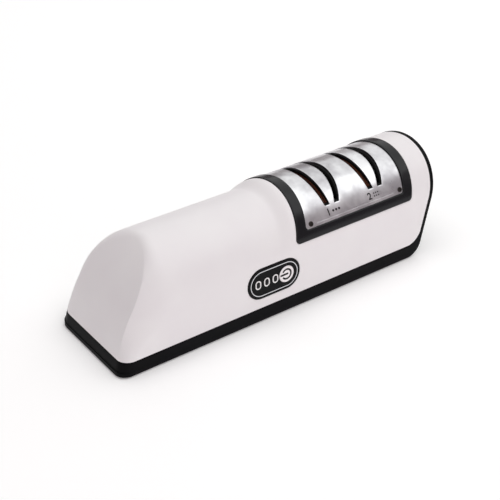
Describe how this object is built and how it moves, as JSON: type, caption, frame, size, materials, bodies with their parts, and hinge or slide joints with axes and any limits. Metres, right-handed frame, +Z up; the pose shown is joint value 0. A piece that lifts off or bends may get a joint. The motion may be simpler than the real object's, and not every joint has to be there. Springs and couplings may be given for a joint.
{
  "type": "electric knife sharpener",
  "caption": "Cordless electric knife sharpener with slotted steel guide, geared abrasive discs, rechargeable cell and a front key panel.",
  "frame": {"origin": "on the resting surface under the feet, below the middle of the overall box", "axes": "+X along the body from the battery end to the slot head, -Y is the front with the key panel, +Z up"},
  "size_m": [0.2106, 0.064, 0.0587],
  "materials": {
    "black_abs": "satin moulded ABS",
    "white_abs": "satin moulded ABS",
    "black_rubber": "matte",
    "zinc_steel": "zinc plated",
    "gloss_black_abs": "polished moulded ABS",
    "brushed_steel": "brushed, softly polished",
    "black_nylon": "moulded nylon",
    "bronze": "sintered bronze",
    "ferrite": "sintered",
    "cell_wrap": "shrink sleeve",
    "nickel_strip": "nickel plated",
    "satin_chrome": "satin",
    "smoked_lens": "smoked clear plastic",
    "green_board": "solder mask",
    "led_resin": "clear resin",
    "lead_sleeve": "PVC sleeve",
    "ground_steel": "ground",
    "copper_bond_coarse": "coarse grit in a copper bond",
    "copper_bond_fine": "fine grit in a copper bond",
    "white_acetal": "moulded acetal",
    "rotor_iron": "laminated",
    "brass_pinion": "turned",
    "white_key": "printed and lacquered"
  },
  "bodies": {
    "housing": {"base_tray": "black_abs", "upper_shell": "white_abs", "rubber_feet": "black_rubber", "base_screws": "zinc_steel", "slot_frame": "gloss_black_abs", "guide_cover": "brushed_steel", "cover_screws": "zinc_steel", "blade_guide": "black_nylon", "shaft_bushes": "bronze", "left_bracket": "black_nylon", "right_bracket": "black_nylon", "motor_can": "zinc_steel", "motor_end_bell": "black_nylon", "motor_magnets": "ferrite", "motor_bracket": "zinc_steel", "motor_screws": "zinc_steel", "bracket_screws": "zinc_steel", "battery_cell": "cell_wrap", "battery_cradle": "black_nylon", "battery_tabs": "nickel_strip", "control_panel": "gloss_black_abs", "panel_trim": "satin_chrome", "indicator_lenses": "smoked_lens", "tact_switch": "black_nylon", "control_board": "green_board", "led_chips": "led_resin", "charge_socket": "nickel_strip", "charge_board": "green_board", "battery_leads": "lead_sleeve", "motor_leads": "lead_sleeve", "charge_leads": "lead_sleeve"},
    "disc_arbor": {"disc_shaft": "ground_steel", "coarse_disc": "copper_bond_coarse", "fine_disc": "copper_bond_fine", "disc_hubs": "zinc_steel", "disc_clamps": "zinc_steel", "shaft_clips": "ground_steel", "drive_gear": "white_acetal"},
    "rotor": {"motor_shaft": "ground_steel", "motor_rotor": "rotor_iron", "motor_pinion": "brass_pinion"},
    "key": {"power_key": "white_key", "switch_plunger": "black_nylon"}
  },
  "joints": [
    {"name": "disc_spin", "type": "hinge", "parent": "housing", "child": "disc_arbor", "pos_m": [0.0313, 0, 0.0308], "axis": [1, 0, 0], "continuous": true},
    {"name": "motor_spin", "type": "hinge", "parent": "housing", "child": "rotor", "pos_m": [0, 0, 0.0188], "axis": [1, 0, 0], "continuous": true},
    {"name": "key_press", "type": "slide", "parent": "housing", "child": "key", "axis": [0, 0.9983, -0.0576], "range_m": [0, 0.0005], "stiffness_N_per_m": 1000, "springref_m": -0.0005}
  ],
  "couplings": [
    {"joint": "motor_spin", "follows": "disc_spin", "ratio": -3}
  ]
}
